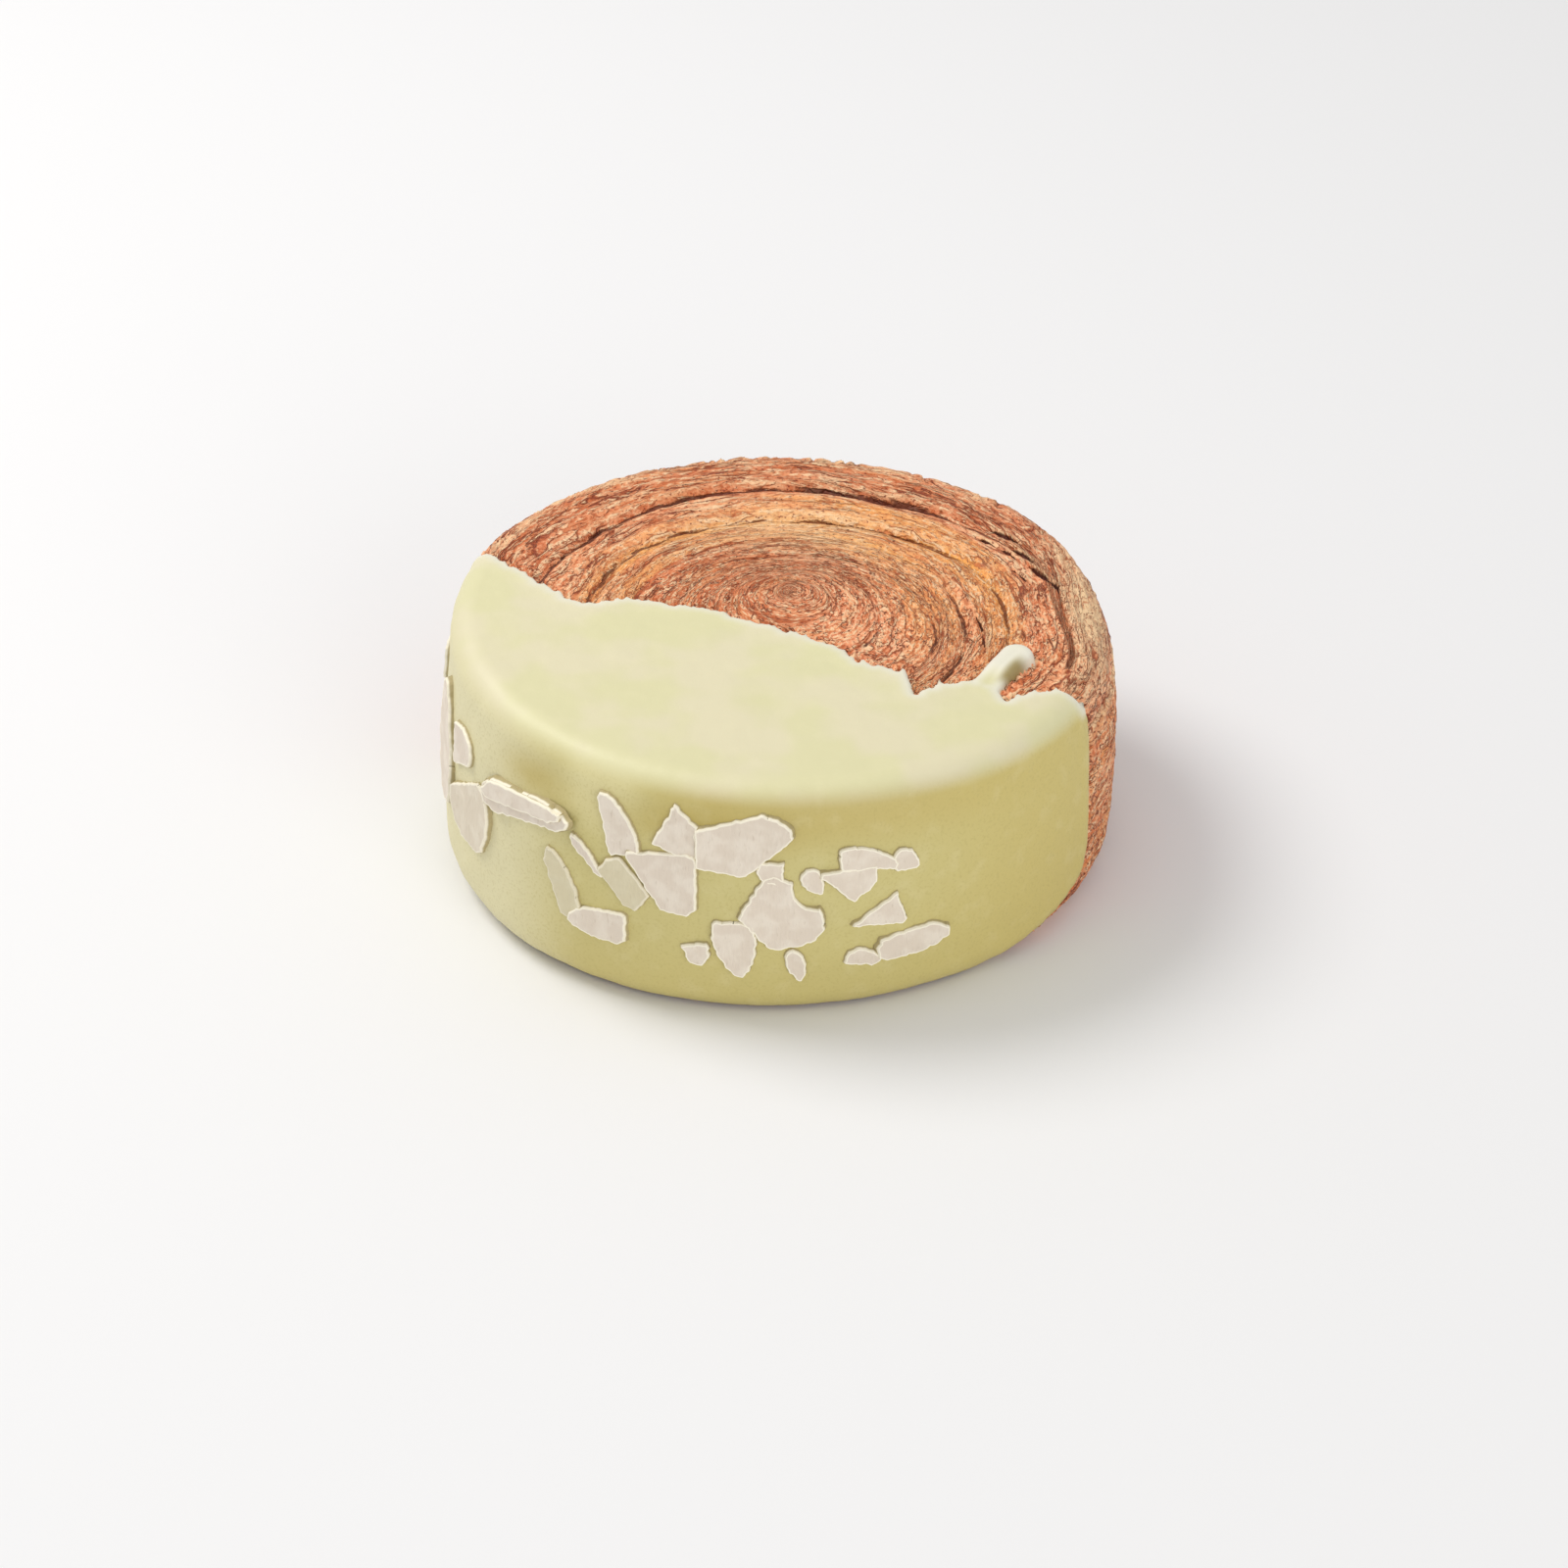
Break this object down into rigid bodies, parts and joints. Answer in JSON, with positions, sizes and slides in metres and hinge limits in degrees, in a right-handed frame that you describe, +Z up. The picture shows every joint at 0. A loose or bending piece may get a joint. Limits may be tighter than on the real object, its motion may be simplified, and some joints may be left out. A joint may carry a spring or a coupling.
{
  "type": "pistachio dipped round croissant",
  "caption": "Low round pastry of laminated dough rolled into a spiral, one side dipped in pale pistachio coating with flaked almonds on its wall.",
  "frame": {"origin": "middle of the flat base, on the surface that the pastry rests on", "axes": "+Z up through the spiral, +X to the pastry's right, -Y to the dipped front"},
  "size_m": [0.1077, 0.1059, 0.0428],
  "materials": {
    "baked_dough": "golden brown baked laminated dough, flaky and matt",
    "pistachio_coating": "pale green pistachio coating, smooth satin",
    "almond": "blanched flaked almond, off-white and matt"
  },
  "bodies": {
    "root": {"pastry": "baked_dough", "pistachio_glaze": "pistachio_coating"}
  },
  "joints": []
}
